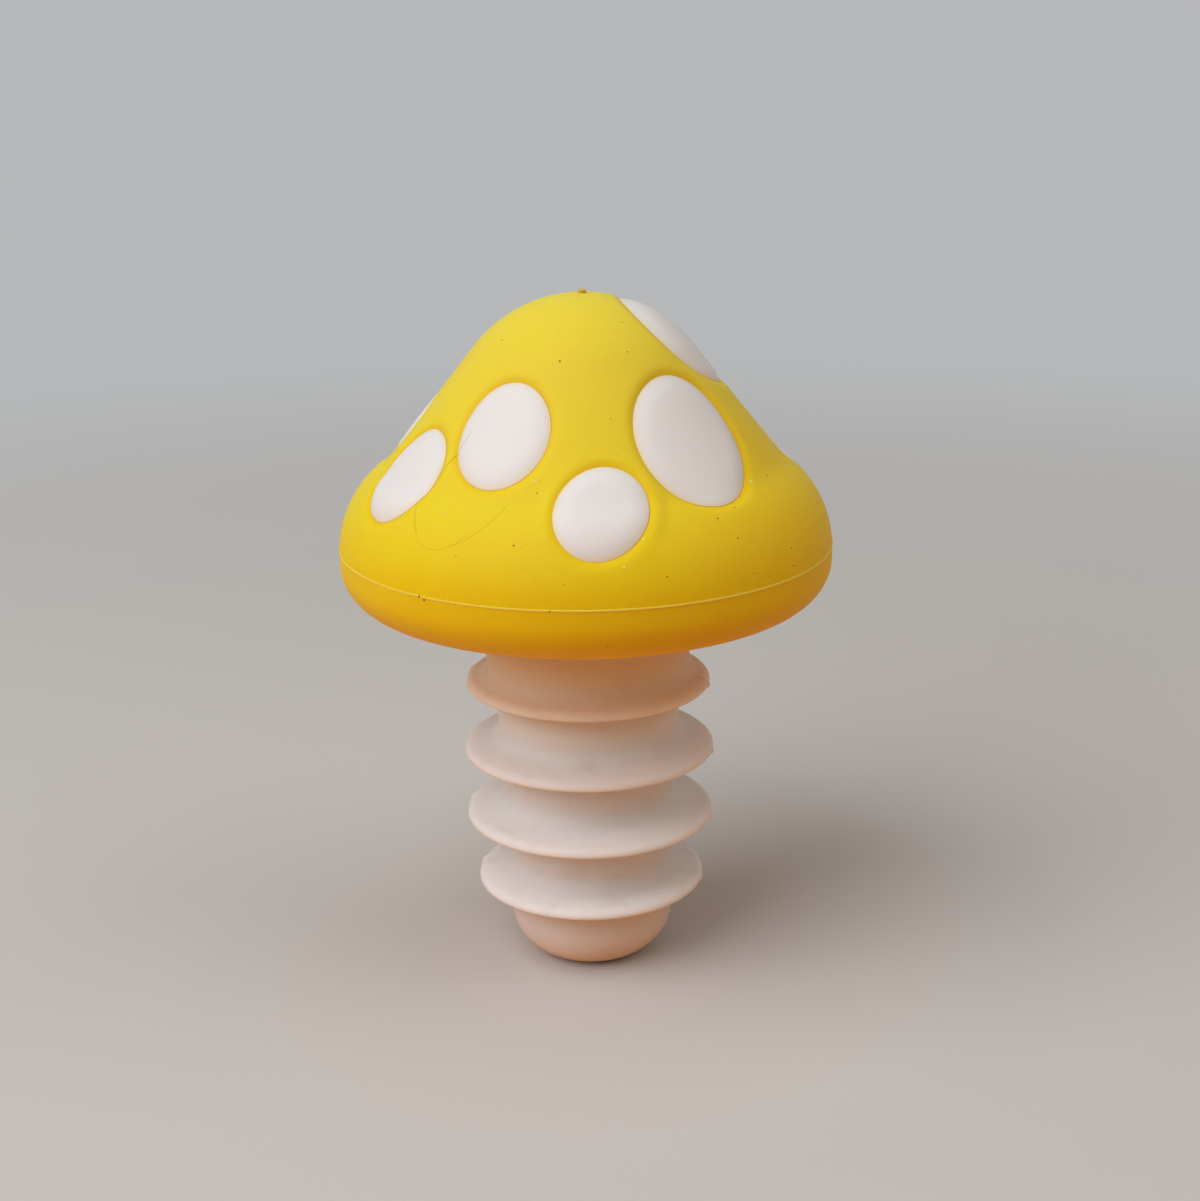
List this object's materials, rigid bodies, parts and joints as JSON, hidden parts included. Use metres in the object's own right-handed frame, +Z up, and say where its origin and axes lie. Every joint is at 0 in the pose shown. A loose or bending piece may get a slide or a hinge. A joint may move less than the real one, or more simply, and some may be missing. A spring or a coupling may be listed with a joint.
{
  "type": "silicone wine stopper",
  "caption": "Mushroom-shaped silicone stopper for a wine bottle: a rounded yellow cap with white oval pads showing through its windows, on a white ribbed plug with a blunt flat-footed tip.",
  "frame": {"origin": "middle of the flat foot, on the surface that the stopper stands on", "axes": "+Z up along the stem to the crown, -Y towards the side whose middle carries one low pad between two higher ones, +X to the right seen from there"},
  "size_m": [0.044, 0.044, 0.0623],
  "materials": {
    "cap": "soft matte yellow silicone",
    "body": "soft matte white silicone, slightly translucent"
  },
  "bodies": {
    "root": {"cap": "cap", "body": "body"}
  },
  "joints": []
}
